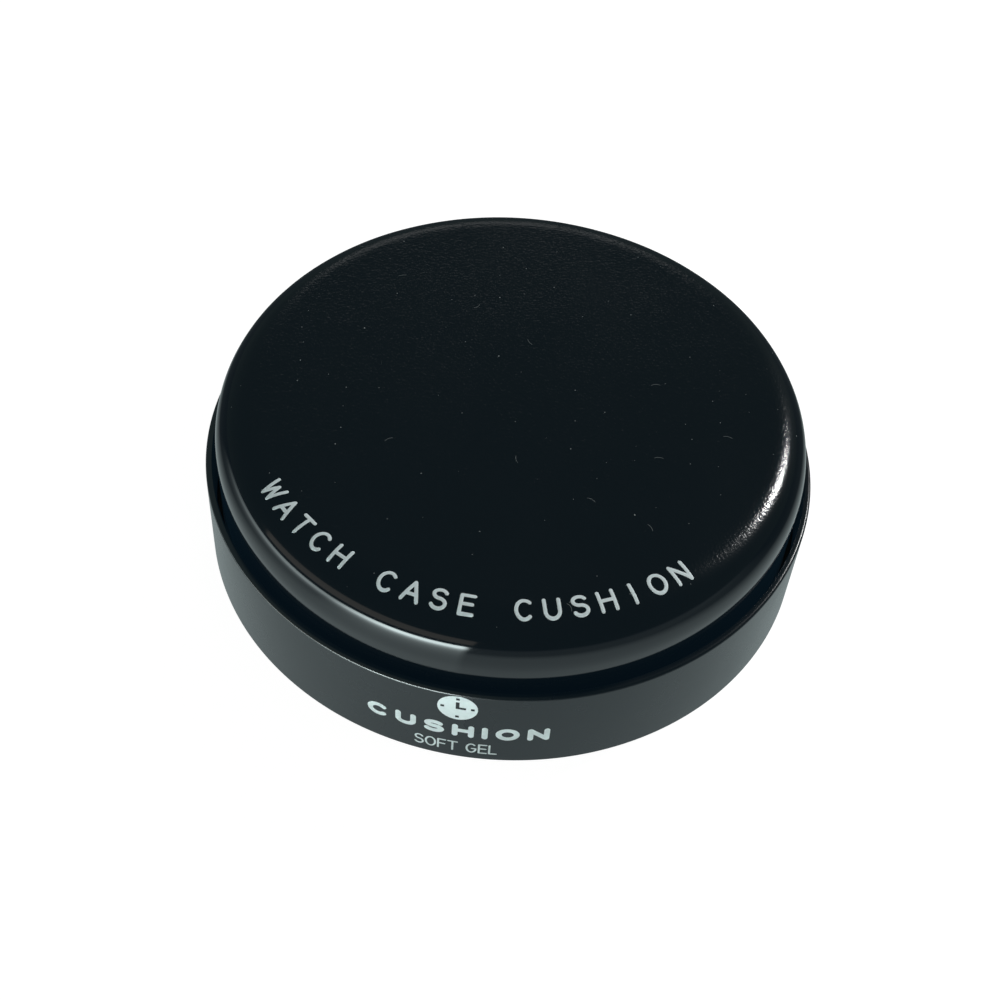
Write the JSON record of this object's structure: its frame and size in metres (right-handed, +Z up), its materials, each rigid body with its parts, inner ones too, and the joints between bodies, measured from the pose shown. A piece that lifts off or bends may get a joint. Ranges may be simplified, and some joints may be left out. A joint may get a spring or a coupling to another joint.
{
  "type": "watch casing cushion",
  "caption": "Round low work cushion for pressing watch cases: a soft gel-filled pad with a rounded edge, seated in a thin-walled turned metal base cup.",
  "frame": {"origin": "centre of the foot, on the bench", "axes": "+Z up along the axis of the round base and pad; +X to the right and -Y towards the front, where the printed marks are"},
  "size_m": [0.075, 0.075, 0.022],
  "materials": {
    "base_aluminium": "fine blasted and black anodised, satin",
    "foot_rubber": "matt, non-slip",
    "ring_plastic": "turned acetal",
    "o_ring_rubber": "satin",
    "disc_plastic": "moulded, matt",
    "plug_rubber": "satin",
    "skin": "soft glossy skin, finely grained on top",
    "gel": "soft translucent gel",
    "print_ink": "thin screen print"
  },
  "bodies": {
    "base": {"base_cup": "base_aluminium", "foot_ring": "foot_rubber"},
    "pad": {"cushion_skin": "skin", "gel_core": "gel", "backing_disc": "disc_plastic", "gel_fill_plug": "plug_rubber", "clamp_ring": "ring_plastic", "retaining_o_ring": "o_ring_rubber"}
  },
  "joints": [
    {"name": "pad_lift", "type": "slide", "parent": "base", "child": "pad", "axis": [0, 0, 1], "range_m": [0, 0.025]}
  ]
}
